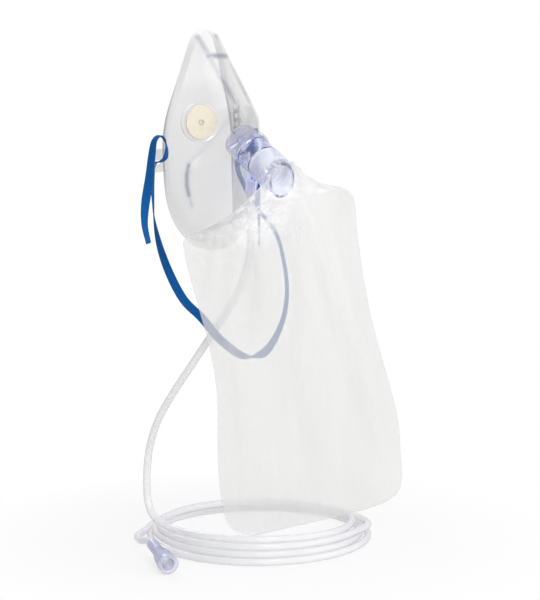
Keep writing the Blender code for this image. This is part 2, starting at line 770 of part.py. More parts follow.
band_inner = neck_radius + GAP
keep(
    "bag_neck_band",
    turned(
        "bag_neck_band",
        (
            (band_inner, band_start + BAND_LENGTH),
            (band_inner + BAND_WALL - 0.3 * MM, band_start + BAND_LENGTH),
            (band_inner + BAND_WALL, band_start + BAND_LENGTH - 0.3 * MM),
            (band_inner + BAND_WALL, band_start + 0.3 * MM),
            (band_inner + BAND_WALL - 0.3 * MM, band_start),
            (band_inner, band_start),
        ),
    ),
    white_rubber,
    port_frame,
)


# Head strap: one flat elastic through both slots, each free end looped up and over to hang outside.

# From the free end on the wearer's right to the one on the left. Each stop has a place in
# millimetres from the right slot, the left slot or the frame, then the way its width points, as an
# angle about Z from the bag's own width.
STRAP_ROUTE = (
    ("right", (-12.5, 0.0, -56.0), 200),
    ("right", (-14.2, 2.0, -43.0), 185),
    ("right", (-14.1, 1.5, -29.0), 170),
    ("right", (-13.2, -1.2, -11.5), 160),
    ("right", (-12.2, -3.1, 5.7), 145),
    ("right", (-10.8, -4.2, 15.2), 130),
    ("right", (-7.0, -6.0, 18.8), 120),
    ("right", (-3.2, -7.6, 16.0), 105),
    ("right", (-1.0, -7.8, 9.5), 80),
    ("right", (0.0, -6.2, 3.4), 62),
    ("right", (0.0, -3.0, 0.7), 60),
    ("right", (0.0, 0.0, 0.0), 60),
    ("right", (0.0, 2.8, -0.7), 60),
    ("right", (-0.3, 4.2, -4.5), 62),
    ("right", (-1.0, 4.0, -14.0), 72),
    ("right", (-1.2, 3.4, -28.0), 84),
    ("frame", (-58.0, 10.2, -54.0), 100),
    ("frame", (-53.5, 8.7, -73.0), 140),
    ("frame", (-46.7, 4.9, -93.0), 170),
    ("frame", (-38.4, -1.5, -112.0), 184),
    ("frame", (-28.6, -10.4, -125.5), 186),
    ("frame", (-18.0, -19.5, -142.0), 184),
    ("frame", (2.5, -28.0, -156.4), 180),
    ("frame", (23.6, -32.9, -154.5), 180),
    ("frame", (39.5, -36.5, -137.0), 180),
    ("frame", (48.7, -36.3, -115.6), 184),
    ("frame", (53.7, -30.9, -92.0), 190),
    ("frame", (56.0, -22.0, -70.0), 205),
    ("left", (-1.0, -12.0, -38.0), 225),
    ("left", (0.4, 1.4, -18.0), 236),
    ("left", (0.2, 4.4, -7.5), 240),
    ("left", (0.0, 2.8, -0.9), 240),
    ("left", (0.0, 0.0, 0.0), 240),
    ("left", (0.0, -3.0, 0.7), 240),
    ("left", (0.0, -6.2, 3.4), 236),
    ("left", (1.0, -7.8, 9.5), 215),
    ("left", (3.2, -7.6, 16.0), 195),
    ("left", (7.0, -6.0, 18.8), 180),
    ("left", (10.8, -4.4, 15.2), 175),
    ("left", (12.2, -3.6, 5.7), 180),
    ("left", (13.0, -4.0, -11.5), 200),
    ("left", (13.4, -5.4, -30.0), 230),
    ("left", (13.0, -7.0, -50.0), 260),
    ("left", (12.6, -7.4, -69.0), 275),
)
STRAP_STEPS = 4


def strap_mesh():
    origins = {
        "right": Vector((-slot_middle.x, slot_middle.y, slot_middle.z)),
        "left": slot_middle,
        "frame": Vector((0.0, 0.0, 0.0)),
    }
    places = [origins[anchor] + Vector(offset) * MM for anchor, offset, _ in STRAP_ROUTE]
    twists = [math.radians(twist) for _, _, twist in STRAP_ROUTE]
    count = STRAP_STEPS * (len(places) - 1)
    work = bmesh.new()
    rows = []
    for i in range(count + 1):
        t = i / STRAP_STEPS
        point = between(places, t)
        ahead = between(places, min(t + 0.1, len(places) - 1))
        along = (ahead - between(places, max(t - 0.1, 0.0))).normalized()
        level = Matrix.Rotation(between(twists, t), 3, "Z") @ bag_across
        half = (level - along * level.dot(along)).normalized() * STRAP_WIDTH / 2
        rows.append((work.verts.new(point - half), work.verts.new(point + half)))
    for (a, b), (c, d) in zip(rows, rows[1:]):
        work.faces.new((a, b, d, c))
    return mesh_from(work, "head_strap")


strap = keep("head_strap", strap_mesh(), blue_elastic)
elastic = strap.modifiers.new("elastic", "SOLIDIFY")
elastic.thickness = STRAP_THICKNESS
elastic.offset = 0.0


# Supply tube: from the inlet's socket down to the coil on the floor.

tube_start = inlet_frame @ Vector((0, 0, socket_floor + GAP))
tube_leaves = inlet_frame @ Vector((0, 0, INLET_REACH + 5.0 * MM))
TUBE_ROUTE = (
    (-2.8, -35.6, -62.0),
    (-3.6, -35.4, -79.0),
    (-5.8, -31.0, -98.5),
    (-9.5, -24.6, -114.5),
    (-12.8, -15.4, -130.0),
    (-15.2, -6.6, -144.0),
    (-17.9, 7.4, -165.0),
    (-18.8, 19.4, -182.0),
    (-18.4, 33.0, -203.0),
    (-17.2, 41.4, -222.0),
    (-16.4, 45.4, -241.0),
    (-17.2, 45.4, -256.0),
    (-18.6, 43.2, -270.0),
)


def tube_object(name, route, finish):
    curve = bpy.data.curves.new(name, "CURVE")
    curve.dimensions = "3D"
    curve.bevel_depth = tube_radius
    curve.bevel_resolution = 3
    curve.use_fill_caps = True
    line = curve.splines.new("POLY")
    line.points.add(len(route) - 1)
    for point, place in zip(line.points, route):
        point.co = (*place, 1.0)
    curve.materials.append(finish)
    piece = bpy.data.objects.new(name, curve)
    pieces.objects.link(piece)
    return piece


coil_top = FLOOR_HEIGHT + COIL_HEIGHT
lands_on_coil = Vector((-18.8 * MM, 42.0 * MM, coil_top + GAP))
tube_route = [tube_start, tube_leaves]
tube_route += [Vector(stop) * MM for stop in TUBE_ROUTE]
tube_route += [lands_on_coil]
tube_object("supply_tube", evenly(tube_route, 2.4 * TUBE_DIAMETER), tube_vinyl)

coil_outer = COIL_DIAMETER / 2
coil_inner = coil_outer - COIL_BAND
keep(
    "tube_coil",
    turned(
        "tube_coil",
        (
            (coil_inner + COIL_EDGE, coil_top),
            (coil_outer - COIL_EDGE, coil_top),
            (coil_outer, coil_top - COIL_EDGE),
            (coil_outer, FLOOR_HEIGHT + COIL_EDGE),
            (coil_outer - COIL_EDGE, FLOOR_HEIGHT),
            (coil_inner + COIL_EDGE, FLOOR_HEIGHT),
            (coil_inner, FLOOR_HEIGHT + COIL_EDGE),
            (coil_inner, coil_top - COIL_EDGE),
        ),
        64,
    ),
    tube_vinyl,
    Matrix.Translation(Vector((*COIL_MIDDLE, 0.0))),
)

# End connector: a soft funnel that pushes on to an oxygen outlet, lying beside the coil.
end_radius = END_MOUTH_DIAMETER / 2
tail_radius = END_TAIL_DIAMETER / 2
mouth = Vector((-84.0 * MM, -16.5 * MM, FLOOR_HEIGHT + end_radius + 0.25 * MM))
tail_towards = Vector((0.66, 0.75, 0.10)).normalized()
keep(
    "supply_connector",
    turned(
        "supply_connector",
        (
            (tube_radius + GAP, END_LENGTH),
            (tail_radius, END_LENGTH),
            (tail_radius, END_LENGTH * 0.62),
            (end_radius - 1.2 * MM, END_LENGTH * 0.34),
            (end_radius - 0.8 * MM, 4.0 * MM),
            (end_radius, 3.4 * MM),
            (end_radius, 0.5 * MM),
            (end_radius - 0.5 * MM, 0.0),
            (END_SOCKET_DIAMETER / 2, 0.0),
            (END_SOCKET_DIAMETER / 2, END_SOCKET_DEPTH),
            (tube_radius + GAP, END_SOCKET_DEPTH + 1.5 * MM),
        ),
        32,
    ),
    tinted_plastic,
    frame_of(mouth, Vector((0, 0, 1)), tail_towards),
)

# The tube's last stretch, from the coil's side into the connector's tail.
coil_side_angle = math.radians(150)
radial = Vector((math.cos(coil_side_angle), math.sin(coil_side_angle), 0.0))
coil_side = Vector((*COIL_MIDDLE, FLOOR_HEIGHT + COIL_HEIGHT / 2)) + radial * (coil_outer + GAP)
tail = mouth + tail_towards * END_LENGTH
end_route = [
    tail - tail_towards * 8.0 * MM,
    tail,
    tail + tail_towards * 8.0 * MM,
    coil_side + radial * 5.0 * MM,
    coil_side,
]
tube_object("supply_tube_end", evenly(end_route, TUBE_DIAMETER), tube_vinyl)
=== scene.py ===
"""Reservoir-bag oxygen mask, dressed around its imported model: clear shell, tinted connector, film bag,
elastic strap, and a supply tube that hangs to its coil on the floor."""

import math

import bmesh
import bpy
from mathutils import Matrix, Vector, noise


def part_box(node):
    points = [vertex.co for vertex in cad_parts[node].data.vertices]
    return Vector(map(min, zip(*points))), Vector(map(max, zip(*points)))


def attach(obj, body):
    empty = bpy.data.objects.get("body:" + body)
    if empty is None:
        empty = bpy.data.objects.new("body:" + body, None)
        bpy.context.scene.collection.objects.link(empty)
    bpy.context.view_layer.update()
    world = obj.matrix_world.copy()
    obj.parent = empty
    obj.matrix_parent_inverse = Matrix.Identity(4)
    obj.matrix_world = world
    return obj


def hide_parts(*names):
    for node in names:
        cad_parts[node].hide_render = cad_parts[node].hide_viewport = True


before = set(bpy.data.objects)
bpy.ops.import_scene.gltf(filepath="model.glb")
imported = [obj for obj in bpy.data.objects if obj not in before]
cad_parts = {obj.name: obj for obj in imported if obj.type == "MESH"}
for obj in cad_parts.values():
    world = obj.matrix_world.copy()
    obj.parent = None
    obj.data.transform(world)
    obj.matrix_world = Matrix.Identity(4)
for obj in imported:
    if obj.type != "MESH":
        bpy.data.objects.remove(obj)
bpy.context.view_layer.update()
MM = 0.001


# Camera: about sixty degrees round from the mask's front, a little above it and looking down.
# The whole object stands in the middle of a tall frame, as on a catalogue page.

CAMERA_PLACE = (-1.232, -0.7612, 0.0717)
CAMERA_LOOKS_DOWN = 7.4
CAMERA_TURN = -60.0
LENS_LENGTH = 120.3

camera_data = bpy.data.cameras.new("camera")
camera_data.sensor_fit = "VERTICAL"
camera_data.sensor_height = 36.0
camera_data.lens = LENS_LENGTH
camera_data.clip_start = 0.05
camera = bpy.data.objects.new("camera", camera_data)
camera.location = CAMERA_PLACE
camera.rotation_euler = (math.radians(90.0 - CAMERA_LOOKS_DOWN), 0.0, math.radians(CAMERA_TURN))
bpy.context.scene.collection.objects.link(camera)
bpy.context.scene.camera = camera


# Supply tube: clear vinyl, five and a half millimetres thick, pushed into the inlet under the
# connector. It falls behind the bag, swings out to the left and lies in four turns on the floor.

TUBE_DIAMETER = 5.5 * MM
FLOOR_HEIGHT = -300.0 * MM
COIL_MIDDLE = Vector((43.0, -14.0, 0.0)) * MM
# Places along the hanging stretch, from the inlet down to the coil, in millimetres.
TUBE_HANGS = (
    (-2.6, -36.6, -28.3),
    (-1.9, -34.8, -37.0),
    (-1.7, -34.2, -44.0),
    (-2.4, -35.4, -62.0),
    (-3.6, -35.4, -79.0),
    (-5.8, -31.0, -98.5),
    (-9.5, -24.6, -114.5),
    (-12.8, -15.4, -130.0),
    (-15.2, -6.6, -144.0),
    (-17.9, 7.4, -165.0),
    (-18.8, 19.4, -182.0),
    (-18.4, 33.0, -203.0),
    (-17.2, 41.4, -222.0),
    (-16.4, 45.4, -241.0),
    (-17.2, 45.4, -256.0),
    (-19.0, 42.8, -269.4),
    (-24.4, 33.0, -277.8),
)
# The coil's centre line: its radius and height above the floor where it crosses the front of the
# coil and then the back, turn after turn, from the top of the pile to the strand that leaves it.
COIL_STATIONS = (
    (78.6, 17.2),
    (72.6, 9.6),
    (81.0, 12.4),
    (78.4, 7.9),
    (82.6, 7.2),
    (80.8, 2.9),
    (86.4, 2.8),
    (86.4, 2.8),
    (92.0, 2.8),
)
# Directions on the coil, in degrees: its front, where its line starts, and where it ends some whole
# turns further on, with the number of points to a turn.
COIL_FRONT = 210.0
COIL_STARTS = 155.0
COIL_ENDS = 115.0
WHOLE_TURNS = 4
TURN_STEPS = 20
# The coil is a little narrower across the view than along it, its strands wander, and one of them
# bulges at the right. None lies lower than its own half thickness.
COIL_SQUASH = 4.0
COIL_WANDER = 0.8
COIL_BULGE = 7.0
BULGE_PLACE = 660.0
BULGE_SPREAD = 18.0
STRAND_REST = 2.8
# Places along the last stretch, from the coil to the connector on the tube's end, in millimetres.
TUBE_TO_CONNECTOR = (
    (-10.0, 58.6, -297.0),
    (-24.0, 48.0, -295.6),
    (-37.0, 36.0, -292.2),
    (-48.4, 24.0, -288.4),
    (-55.7, 15.6, -288.0),
    (-61.0, 9.6, -288.8),
)


def coil_point(angle):
    """A point on the coil's centre line, by the angle turned."""
    along = max(0.0, (angle - COIL_FRONT) / 180.0)
    station = min(int(along), len(COIL_STATIONS) - 2)
    share = along - station
    share = share * share * (3.0 - 2.0 * share)
    (radius, height), (next_radius, next_height) = COIL_STATIONS[station : station + 2]
    radius += (next_radius - radius) * share
    height += (next_height - height) * share
    seat = math.radians(angle)
    radius -= COIL_SQUASH * math.cos(seat - math.radians(COIL_FRONT - 90.0)) ** 2
    radius += COIL_WANDER * math.sin(2.0 * seat + 1.7 * station) * math.sin(math.pi * share)
    radius += COIL_BULGE * math.exp(-(((angle - BULGE_PLACE) / BULGE_SPREAD) ** 2))
    place = Vector((radius * math.cos(seat), radius * math.sin(seat), max(height, STRAND_REST)))
    return COIL_MIDDLE + place * MM + Vector((0.0, 0.0, FLOOR_HEIGHT))


last_angle = COIL_ENDS + 360.0 * WHOLE_TURNS
coil_steps = round((last_angle - COIL_STARTS) / 360.0 * TURN_STEPS)
tube_points = [Vector(point) * MM for point in TUBE_HANGS]
for step in range(coil_steps + 1):
    tube_points.append(coil_point(COIL_STARTS + (last_angle - COIL_STARTS) * step / coil_steps))
tube_points += [Vector(point) * MM for point in TUBE_TO_CONNECTOR]

tube_curve = bpy.data.curves.new("supply_tube_line", "CURVE")
tube_curve.dimensions = "3D"
tube_curve.bevel_depth = TUBE_DIAMETER / 2
tube_curve.bevel_resolution = 5
tube_curve.resolution_u = 5
tube_curve.use_fill_caps = True
tube_line = tube_curve.splines.new("BEZIER")
tube_line.bezier_points.add(len(tube_points) - 1)
for stop, place in zip(tube_line.bezier_points, tube_points):
    stop.co = place
    stop.handle_left_type = "AUTO"
    stop.handle_right_type = "AUTO"
supply_tube = bpy.data.objects.new("clear_supply_tube", tube_curve)
bpy.context.scene.collection.objects.link(supply_tube)


def new_material(name):
    """A material with its shader, its node maker and its link maker."""
    made = bpy.data.materials.new(name)
    made.use_nodes = True
    tree = made.node_tree
    shader = tree.nodes["Principled BSDF"]

    def node(kind, **settings):
        new = tree.nodes.new(kind)
        for key, value in settings.items():
            if key in new.inputs.keys():
                new.inputs[key].default_value = value
            else:
                setattr(new, key, value)
        return new

    return made, shader, node, tree.links.new


def graded(node, link, source, stops):
    """A colour ramp over a source: (place, grey or colour) for each stop."""
    ramp = node("ShaderNodeValToRGB")
    while len(ramp.color_ramp.elements) < len(stops):
        ramp.color_ramp.elements.new(0.5)
    for element, (place, value) in zip(ramp.color_ramp.elements, stops):
        element.position = place
        element.color = (value, value, value, 1.0) if isinstance(value, float) else (*value, 1.0)
    link(source, ramp.inputs["Fac"])
    return ramp.outputs["Color"]


def patches(node, link, scale, detail=3.0, stretch=(1.0, 1.0, 1.0), turn=(0.0, 0.0, 0.0)):
    """Soft uneven patches fixed to the piece, which can be drawn out along one way."""
    place = node("ShaderNodeMapping", Scale=stretch, Rotation=turn)
    link(node("ShaderNodeTexCoord").outputs["Object"], place.inputs["Vector"])
    cloud = node("ShaderNodeTexNoise", Scale=scale, Detail=detail)
    link(place.outputs["Vector"], cloud.inputs["Vector"])
    return cloud.outputs["Fac"]


def raised(node, link, shader, source, distance, strength=0.35):
    """Raises the surface a little where a source is light."""
    bump = node("ShaderNodeBump", Strength=strength, Distance=distance)
    link(source, bump.inputs["Height"])
    link(bump.outputs["Normal"], shader.inputs["Normal"])


def lets_light_through(made, node, link, share):
    """Lets a share of the lamps' light pass straight through a clear material."""
    clear = node("ShaderNodeBsdfTransparent")
    shadow = node("ShaderNodeMath", operation="MULTIPLY")
    link(node("ShaderNodeLightPath").outputs["Is Shadow Ray"], shadow.inputs[0])
    shadow.inputs[1].default_value = share
    mix = node("ShaderNodeMixShader")
    link(shadow.outputs[0], mix.inputs["Fac"])
    link(made.node_tree.nodes["Principled BSDF"].outputs["BSDF"], mix.inputs[1])
    link(clear.outputs["BSDF"], mix.inputs[2])
    link(mix.outputs["Shader"], made.node_tree.nodes["Material Output"].inputs["Surface"])


def dress(name, finish):
    """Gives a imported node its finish."""
    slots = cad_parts[name].data.materials
    slots.clear()
    slots.append(finish)


# The tube's wall gathers light: pale along the middle, greyer and denser towards both edges.
TUBE_TONES = ((0.0, (0.87, 0.87, 0.88)), (0.5, (0.82, 0.82, 0.84)), (0.95, (0.61, 0.61, 0.66)))
TUBE_COVERS = ((0.0, 0.5), (0.5, 0.62), (0.8, 0.8), (1.0, 0.9))
tube_vinyl, shader, node, link = new_material("tube_vinyl")
facing = node("ShaderNodeLayerWeight", Blend=0.5).outputs["Facing"]
link(graded(node, link, facing, TUBE_TONES), shader.inputs["Base Color"])
link(graded(node, link, facing, TUBE_COVERS), shader.inputs["Alpha"])
shader.inputs["Roughness"].default_value = 0.14
raised(node, link, shader, patches(node, link, scale=60.0), distance=0.0001, strength=0.2)
lets_light_through(tube_vinyl, node, link, share=0.8)
tube_curve.materials.append(tube_vinyl)
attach(supply_tube, "root")
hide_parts("supply_tube", "supply_tube_end", "tube_coil")


# Connector on the tube's far end: a soft funnel of blue-tinted vinyl that pushes on to an oxygen
# outlet. It is moulded in one, and looks darker where its wall turns edge on.

END_TONES = ((0.1, (0.78, 0.79, 0.89)), (0.6, (0.50, 0.53, 0.76)), (0.92, (0.08, 0.10, 0.38)))
END_COVERS = ((0.0, 0.36), (0.6, 0.5), (0.9, 0.85), (1.0, 0.95))
end_plastic, shader, node, link = new_material("end_plastic")
facing = node("ShaderNodeLayerWeight", Blend=0.45).outputs["Facing"]
link(graded(node, link, facing, END_TONES), shader.inputs["Base Color"])
link(graded(node, link, facing, END_COVERS), shader.inputs["Alpha"])
shader.inputs["Roughness"].default_value = 0.1
raised(node, link, shader, patches(node, link, scale=90.0), distance=0.0002)
dress("supply_connector", end_plastic)


# Mask body: clear soft vinyl, moulded in one shell with its port, valve seats and strap tabs.
# The wall is denser to the eye where it turns edge on, and painted shade darkens it along its
# creases and round the lip's edge.

# Creases pressed into each cheek, drawn as lines of painted shade through places in millimetres,
# with their width and the strength of their shade: beside the ridge, across its step, from the
# ridge's end round the valve, and the pleat by the tab.
CREASES = (
    (((-13.4, 2.2, 74.3), (-12.5, -7.5, 60.0), (-11.4, -19.6, 39.9), (-9.9, -27.9, 28.0)), 4.5, 0.42),
    (((-13.0, -6.7, 60.2), (-7.2, -10.6, 60.5), (0.0, -12.4, 60.2)), 0.8, 0.6),
    (((-9.0, -30.0, 25.4), (-16.4, -20.2, 9.7), (-29.1, -9.6, -7.7), (-36.0, -5.6, -14.5)), 2.2, 0.30),
    (((-36.8, -5.3, -15.9), (-39.3, -5.0, -23.0), (-40.3, -5.7, -30.0), (-40.1, -7.2, -37.0)), 1.1, 0.62),
    (((-40.1, -7.2, -37.0), (-38.6, -8.8, -44.5)), 0.8, 0.4),
)
# The painted shade's dark blue-grey tint, and how strongly it darkens the wall's tone.
CREASE_SHADE_TINT = (0.13, 0.14, 0.24)
CREASE_DARKENS = 1.6
# The wall's tone and cover by how far it turns away, and how uneven it is.
WALL_TONES = (
    (0.1, (0.44, 0.44, 0.45)),
    (0.8, (0.50, 0.50, 0.515)),
    (0.92, (0.36, 0.36, 0.40)),
    (0.975, (0.05, 0.05, 0.11)),
)
WALL_COVERS = ((0.1, 0.255), (0.5, 0.22), (0.8, 0.18), (0.93, 0.27), (0.985, 0.9))
WALL_UNEVEN = ((0.3, 0.85), (0.7, 1.15))
# How much wall shows on the nose ridge by the distance from its middle, and the height below which
# the ridge has run out, in metres.
RIDGE_WALL = ((0.0090, 0.35), (0.0190, 1.0))
BELOW_RIDGE = ((0.022, 1.0), (0.030, 0.0))
# The lip's edge: its place, and how dark it is by the distance from there, in metres.
LIP_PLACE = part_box("mask_body")[1][1]
LIP_EDGE = ((0.0004, 0.55), (0.0011, 0.0))

clear_vinyl, shader, node, link = new_material("clear_vinyl")
facing = node("ShaderNodeLayerWeight", Blend=0.5).outputs["Facing"]
place = node("ShaderNodeTexCoord").outputs["Object"]


def vector_step(operation, first, second=None):
    """One vector sum in the material at hand."""
    made = node("ShaderNodeVectorMath", operation=operation)
    for socket, value in zip(made.inputs, (first, second)):
        if isinstance(value, Vector):
            socket.default_value = value
        elif value is not None:
            link(value, socket)
    return made.outputs["Value" if operation in ("DOT_PRODUCT", "LENGTH", "DISTANCE") else "Vector"]


def scalar_step(operation, first, second, clamped=False):
    """One plain sum in the material at hand."""
    made = node("ShaderNodeMath", operation=operation, use_clamp=clamped)
    for socket, value in zip(made.inputs, (first, second)):
        if isinstance(value, float):
            socket.default_value = value
        else:
            link(value, socket)
    return made.outputs[0]


def turned_to(tint, share, tone):
    """A tone that turns to a tint by a share, in the material at hand."""
    mix = node("ShaderNodeMix", data_type="RGBA")
    link(share, mix.inputs["Factor"])
    link(tone, mix.inputs["A"])
    mix.inputs["B"].default_value = (*tint, 1.0)
    return mix.outputs["Result"]


# Both cheeks are alike, so the creases are worked out on the wearer's right and mirrored.
one_cheek = vector_step("MULTIPLY", vector_step("ABSOLUTE", place), Vector((-1.0, 0.0, 0.0)))
one_cheek = vector_step("ADD", one_cheek, vector_step("MULTIPLY", place, Vector((0.0, 1.0, 1.0))))


def to_crease(stops):
    """The distance to a crease that runs through a few places on the cheek."""
    nearest_part = None
    for start, end in zip(stops, stops[1:]):
        start, run = Vector(start) * MM, (Vector(end) - Vector(start)) * MM
        offset = vector_step("SUBTRACT", one_cheek, start)
        along = vector_step("DOT_PRODUCT", offset, run)
        along = scalar_step("MULTIPLY", along, 1.0 / run.length_squared, clamped=True)
        foot = node("ShaderNodeVectorMath", operation="SCALE")
        foot.inputs[0].default_value = run
        link(along, foot.inputs["Scale"])
        apart = vector_step("LENGTH", vector_step("SUBTRACT", offset, foot.outputs["Vector"]))
        nearest_part = scalar_step("MINIMUM", nearest_part, apart) if nearest_part else apart
    return nearest_part


# Painted shade: a dark line along each crease, strongest on it and fading over its width.
creases = None
for stops, width, strength in CREASES:
    fades = ((0.0, strength), (0.35 * width * MM, strength * 0.8), (width * MM, 0.0))
    shade_line = graded(node, link, to_crease(stops), fades)
    creases = scalar_step("MAXIMUM", creases, shade_line) if creases else shade_line
# The lip's own edge is painted all round as a fine dark line of shade.
split_place = node("ShaderNodeSeparateXYZ")
link(one_cheek, split_place.inputs[0])
from_edge = scalar_step("SUBTRACT", LIP_PLACE, split_place.outputs["Y"])
creases = scalar_step("MAXIMUM", creases, graded(node, link, from_edge, LIP_EDGE))
# The nose ridge is clearer than the cheeks beside it, most of all along its blunt face.
uneven = graded(node, link, patches(node, link, scale=16.0), WALL_UNEVEN)
wall = scalar_step("MULTIPLY", graded(node, link, facing, WALL_COVERS), uneven, clamped=True)
from_middle = scalar_step("MULTIPLY", split_place.outputs["X"], -1.0)
below = graded(node, link, split_place.outputs["Z"], BELOW_RIDGE)
ridge_wall = scalar_step("MAXIMUM", graded(node, link, from_middle, RIDGE_WALL), below)
wall = scalar_step("MULTIPLY", wall, ridge_wall)
link(scalar_step("MAXIMUM", wall, creases), shader.inputs["Alpha"])
# The painted shade lines turn the wall's tone towards their dark tint.
darkened = scalar_step("MULTIPLY", creases, CREASE_DARKENS, clamped=True)
link(turned_to(CREASE_SHADE_TINT, darkened, graded(node, link, facing, WALL_TONES)), shader.inputs["Base Color"])
shader.inputs["Roughness"].default_value = 0.16
raised(node, link, shader, patches(node, link, scale=45.0), distance=0.0005, strength=0.25)
lets_light_through(clear_vinyl, node, link, share=0.5)
dress("mask_body", clear_vinyl)


# Exhalation valves: thin cream silicone discs, each held by a pip through its middle. They are cut
# from sheet, matt and slightly mottled.

CREAM_TONES = ((0.3, (0.78, 0.70, 0.55)), (0.7, (0.84, 0.77, 0.62)))
cream_silicone, shader, node, link = new_material("cream_silicone")
mottled = patches(node, link, scale=260.0, detail=4.0)
link(graded(node, link, mottled, CREAM_TONES), shader.inputs["Base Color"])
shader.inputs["Roughness"].default_value = 0.5
shader.inputs["Subsurface Weight"].default_value = 0.1
raised(node, link, shader, patches(node, link, scale=500.0), distance=0.0001)
for side in ("right", "left"):
    dress(f"exhalation_disc_{side}", cream_silicone)


# Oxygen connector: a rigid clear moulding with a blue-violet tint, pushed into the mask's port. Its
# tint deepens with the way that light takes through the walls.

CONNECTOR_TONE = (0.97, 0.975, 1.0)
CONNECTOR_TINT = (0.34, 0.40, 0.88)
TINT_DEPTH = 110.0
tinted_plastic, shader, node, link = new_material("tinted_plastic")
shader.inputs["Base Color"].default_value = (*CONNECTOR_TONE, 1.0)
shader.inputs["Transmission Weight"].default_value = 1.0
shader.inputs["Roughness"].default_value = 0.04
shader.inputs["IOR"].default_value = 1.22
raised(node, link, shader, patches(node, link, scale=70.0), distance=0.0002)
tinted = node("ShaderNodeVolumeAbsorption")
tinted.inputs["Color"].default_value = (*CONNECTOR_TINT, 1.0)
tinted.inputs["Density"].default_value = TINT_DEPTH
link(tinted.outputs["Volume"], tinted_plastic.node_tree.nodes["Material Output"].inputs["Volume"])
lets_light_through(tinted_plastic, node, link, share=1.0)
dress("oxygen_connector", tinted_plastic)


# Valve disc and neck band: milky rubber, the disc on a pin in the connector's inner end, and the
# band stretched over the bag's neck to hold it on the spout.

RUBBER_TONES = ((0.1, (0.90, 0.91, 0.93)), (0.7, (0.80, 0.81, 0.88)), (0.95, (0.45, 0.47, 0.68)))
RUBBER_COVERS = ((0.1, 0.34), (0.7, 0.42), (0.95, 0.75))
milky_rubber, shader, node, link = new_material("milky_rubber")
facing = node("ShaderNodeLayerWeight", Blend=0.5).outputs["Facing"]
link(graded(node, link, facing, RUBBER_TONES), shader.inputs["Base Color"])
link(graded(node, link, facing, RUBBER_COVERS), shader.inputs["Alpha"])
shader.inputs["Roughness"].default_value = 0.3
raised(node, link, shader, patches(node, link, scale=200.0), distance=0.0001)
lets_light_through(milky_rubber, node, link, share=0.8)
for name in ("check_valve_disc", "bag_neck_band"):
    dress(name, milky_rubber)


# Reservoir bag: a tube of thin frosted film, closed below, gathered round the spout and hanging
# nearly flat. The film is creased from being packed, and crumpled under the connector.

# The mask's port, the way that the spout points out of it, and how far out the spout ends.
PORT_MIDDLE = Vector((-2.0, -35.0, -6.0)) * MM
PORT_YAW = math.radians(20.0)
PORT_PITCH = math.radians(30.0)
SPOUT_END = 45.6 * MM
port_axis = -Vector(
    (
        math.cos(PORT_PITCH) * math.sin(PORT_YAW),
        math.cos(PORT_PITCH) * math.cos(PORT_YAW),
        math.sin(PORT_PITCH),
    )
)
port_side = Vector((math.cos(PORT_YAW), -math.sin(PORT_YAW), 0.0))
port_up = port_axis.cross(port_side)
spout_tip = PORT_MIDDLE + port_axis * SPOUT_END

# How the flat bag is turned and leans, and where its top lies from the spout's tip, in millimetres.
BAG_TURN = math.radians(-60.0)
BAG_LEAN = math.radians(8.8)
TOP_LEFT, TOP_BACK, TOP_BELOW = 15.5, 6.0, 15.5
bag_across = Vector((math.cos(BAG_TURN), math.sin(BAG_TURN), 0.0))
bag_back = Vector((-math.sin(BAG_TURN), math.cos(BAG_TURN), 0.0))
bag_down = (Vector((0, 0, -1)) * math.cos(BAG_LEAN) + bag_across * math.sin(BAG_LEAN)).normalized()
bag_side = bag_down.cross(bag_back).normalized()
bag_top = spout_tip - bag_across * TOP_LEFT * MM + bag_back * TOP_BACK * MM - Vector((0, 0, TOP_BELOW * MM))

# Down the hanging bag, in millimetres: how far along, the left and right edges there, half its
# thickness, and how much its cross line drops from right to left.
BAG_OUTLINE = (
    (3.6, -56.5, 56.0, 0.6, 8.6),
    (8.0, -60.0, 61.2, 1.8, 8.0),
    (15.0, -60.4, 63.2, 3.4, 6.0),
    (30.0, -60.4, 62.0, 5.4, 2.5),
    (60.0, -57.4, 61.6, 6.4, 0.0),
    (90.0, -54.0, 62.9, 6.2, 0.0),
    (120.0, -53.4, 66.2, 5.8, 0.0),
    (145.0, -56.0, 69.3, 5.2, 0.0),
    (165.0, -59.4, 70.9, 4.6, 0.0),
    (190.0, -62.2, 69.3, 3.8, 1.0),
    (207.0, -62.5, 68.0, 3.0, 2.0),
    (216.0, -61.6, 65.6, 2.4, 2.6),
    (222.0, -58.6, 61.0, 2.0, 3.0),
    (226.5, -53.0, 53.0, 1.5, 3.4),
    (229.5, -44.0, 40.0, 0.9, 3.6),
)
# The gathered neck, ring by ring: how far out along the spout, its radius, how many gathers it has
# and how deep they are. From its last ring the film fans out to the top of the flat bag, in pleats.
NECK_RINGS = (
    (27.0, 11.9, 20, 0.15),
    (30.6, 11.9, 20, 0.2),
    (32.4, 12.4, 20, 0.5),
    (37.4, 13.2, 17, 1.0),
    (42.0, 13.8, 15, 1.5),
)
FAN_SHARES = (0.2, 0.4, 0.6, 0.8)
FAN_PLEATS = 14.0
PLEAT_HEIGHT = 2.4
LEFT_LOOSER = 1.4
FAN_SAG = 3.0
# Where the neck's fullness runs out into the flat bag: its middle, height, width, how much it widens
# on the way down, and length.
NECK_MIDDLE = 15.0
NECK_FULLNESS = 14.0
NECK_SPREAD = 17.0
NECK_WIDENS = 0.35
NECK_FADES = 34.0
# The film's half thickness at its side folds and at the least, the height of its slow waves and of
# its crumples, and how far the crumples reach down and to the right, with the width of their fade.
SIDE_FOLD = 0.35
LEAST_DEPTH = 0.25
WAVE_HEIGHT = 2.2
CRUMPLE_HEIGHT = 4.6
CRUMPLE_REACH = 58.0
CRUMPLE_EDGE = 30.0
CRUMPLE_FADES = 40.0
# Rows of faces: round the film, between two guides of the neck, and between two rows of the outline.
FILM_AROUND = 176
NECK_STEPS = 5
FILM_STEPS = 8
